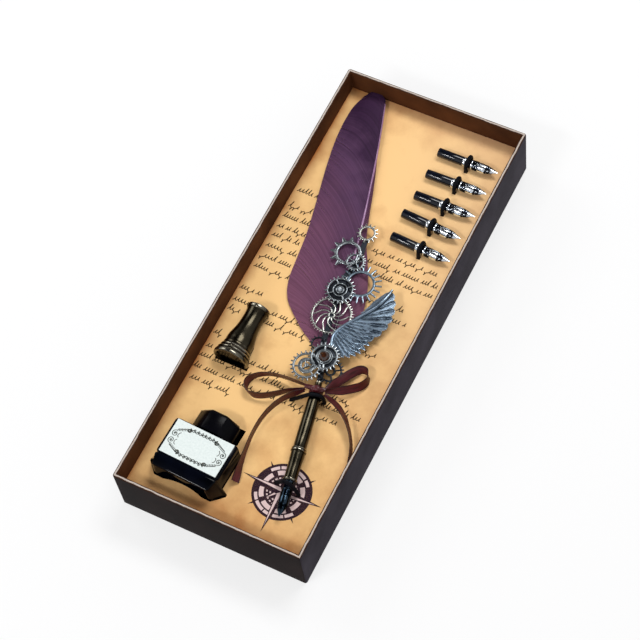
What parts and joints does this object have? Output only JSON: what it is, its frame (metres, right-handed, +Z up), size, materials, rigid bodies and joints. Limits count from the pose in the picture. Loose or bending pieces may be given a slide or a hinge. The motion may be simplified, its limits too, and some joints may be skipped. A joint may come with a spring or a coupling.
{
  "type": "quill pen gift box",
  "caption": "Open gift box tray with a feather dip pen decorated with gears and a wing, spare nibs, an ink bottle and a pen stand.",
  "frame": {"origin": "middle of the box's underside", "axes": "+Z up, +Y along the box towards the feather's tip, +X across it towards the spare nibs"},
  "size_m": [0.1234, 0.31, 0.039],
  "materials": {
    "dark_paper": "satin embossed paper",
    "grey_board": "matte",
    "foam": "matte foam block",
    "parchment_card": "matte print",
    "black_elastic": "matte braided elastic",
    "dark_glass": "polished",
    "label_paper": "matte print",
    "black_cap": "gloss",
    "cap_liner": "matte",
    "antique_bronze": "aged satin",
    "aged_silver": "aged casting",
    "blue_silver": "aged casting",
    "clear_stone": "polished",
    "amber_stone": "polished",
    "feather": "dyed feather",
    "quill": "dyed horn",
    "ribbon": "satin",
    "blue_black_lacquer": "gloss",
    "nib_steel": "polished"
  },
  "bodies": {
    "tray": {"tray_board": "grey_board", "tray_wrap": "dark_paper", "base_paper": "dark_paper", "foam_bed": "foam", "foam_front": "foam", "foam_left": "foam", "foam_right": "foam", "foam_rear": "foam", "printed_card": "parchment_card", "nib_tie_1": "black_elastic", "nib_tie_2": "black_elastic", "nib_tie_3": "black_elastic", "nib_tie_4": "black_elastic", "nib_tie_5": "black_elastic", "pen_tie_front": "black_elastic", "pen_tie_rear": "black_elastic"},
    "ink_bottle": {"ink_bottle": "dark_glass", "bottle_label": "label_paper"},
    "ink_cap": {"ink_cap": "black_cap", "cap_liner": "cap_liner"},
    "pen_stand": {"pen_stand": "antique_bronze"},
    "quill_pen": {"mouth_ring": "antique_bronze", "pen_grip": "antique_bronze", "barrel_collar": "antique_bronze", "pen_barrel": "antique_bronze", "pen_neck": "antique_bronze", "gear_spine": "aged_silver", "feather_shaft": "quill", "feather_vane_left": "feather", "feather_vane_right": "feather", "crown_gear": "aged_silver", "crescent_gear": "aged_silver", "spoked_gear": "aged_silver", "long_tooth_gear": "aged_silver", "jewel_gear": "aged_silver", "swirl_wheel": "aged_silver", "small_ring_gear": "aged_silver", "amber_gear": "aged_silver", "left_gear": "aged_silver", "right_gear": "aged_silver", "clear_stone": "clear_stone", "amber_stone": "amber_stone", "wing": "blue_silver", "ribbon_knot": "ribbon", "ribbon_loop_left": "ribbon", "ribbon_loop_right": "ribbon", "ribbon_tail_left": "ribbon", "ribbon_tail_right": "ribbon"},
    "pen_nib": {"pen_nib_shank": "blue_black_lacquer", "pen_nib_point": "nib_steel"},
    "spare_nib_1": {"nib_1_shank": "blue_black_lacquer", "nib_1_point": "nib_steel"},
    "spare_nib_2": {"nib_2_shank": "blue_black_lacquer", "nib_2_point": "nib_steel"},
    "spare_nib_3": {"nib_3_shank": "blue_black_lacquer", "nib_3_point": "nib_steel"},
    "spare_nib_4": {"nib_4_shank": "blue_black_lacquer", "nib_4_point": "nib_steel"},
    "spare_nib_5": {"nib_5_shank": "blue_black_lacquer", "nib_5_point": "nib_steel"}
  },
  "joints": [
    {"name": "pen_lift", "type": "slide", "parent": "tray", "child": "quill_pen", "axis": [0, 0, 1], "range_m": [0, 0.08], "deforming": ["pen_tie_front", "pen_tie_rear"]},
    {"name": "pen_nib_pull", "type": "slide", "parent": "quill_pen", "child": "pen_nib", "axis": [0.2028, -0.9792, 0], "range_m": [0, 0.018]},
    {"name": "bottle_lift", "type": "slide", "parent": "tray", "child": "ink_bottle", "axis": [0, 0, 1], "range_m": [0, 0.06]},
    {"name": "cap_turn", "type": "hinge", "parent": "ink_bottle", "child": "ink_cap", "pos_m": [-0.0263, -0.1386, 0.022], "axis": [0.0436, 0.999, 0], "range_deg": [0, 540]},
    {"name": "stand_lift", "type": "slide", "parent": "tray", "child": "pen_stand", "axis": [0, 0, 1], "range_m": [0, 0.06]},
    {"name": "nib_1_lift", "type": "slide", "parent": "tray", "child": "spare_nib_1", "axis": [0, 0, 1], "range_m": [0, 0.04], "deforming": ["nib_tie_1"]},
    {"name": "nib_2_lift", "type": "slide", "parent": "tray", "child": "spare_nib_2", "axis": [0, 0, 1], "range_m": [0, 0.04], "deforming": ["nib_tie_2"]},
    {"name": "nib_3_lift", "type": "slide", "parent": "tray", "child": "spare_nib_3", "axis": [0, 0, 1], "range_m": [0, 0.04], "deforming": ["nib_tie_3"]},
    {"name": "nib_4_lift", "type": "slide", "parent": "tray", "child": "spare_nib_4", "axis": [0, 0, 1], "range_m": [0, 0.04], "deforming": ["nib_tie_4"]},
    {"name": "nib_5_lift", "type": "slide", "parent": "tray", "child": "spare_nib_5", "axis": [0, 0, 1], "range_m": [0, 0.04], "deforming": ["nib_tie_5"]}
  ]
}
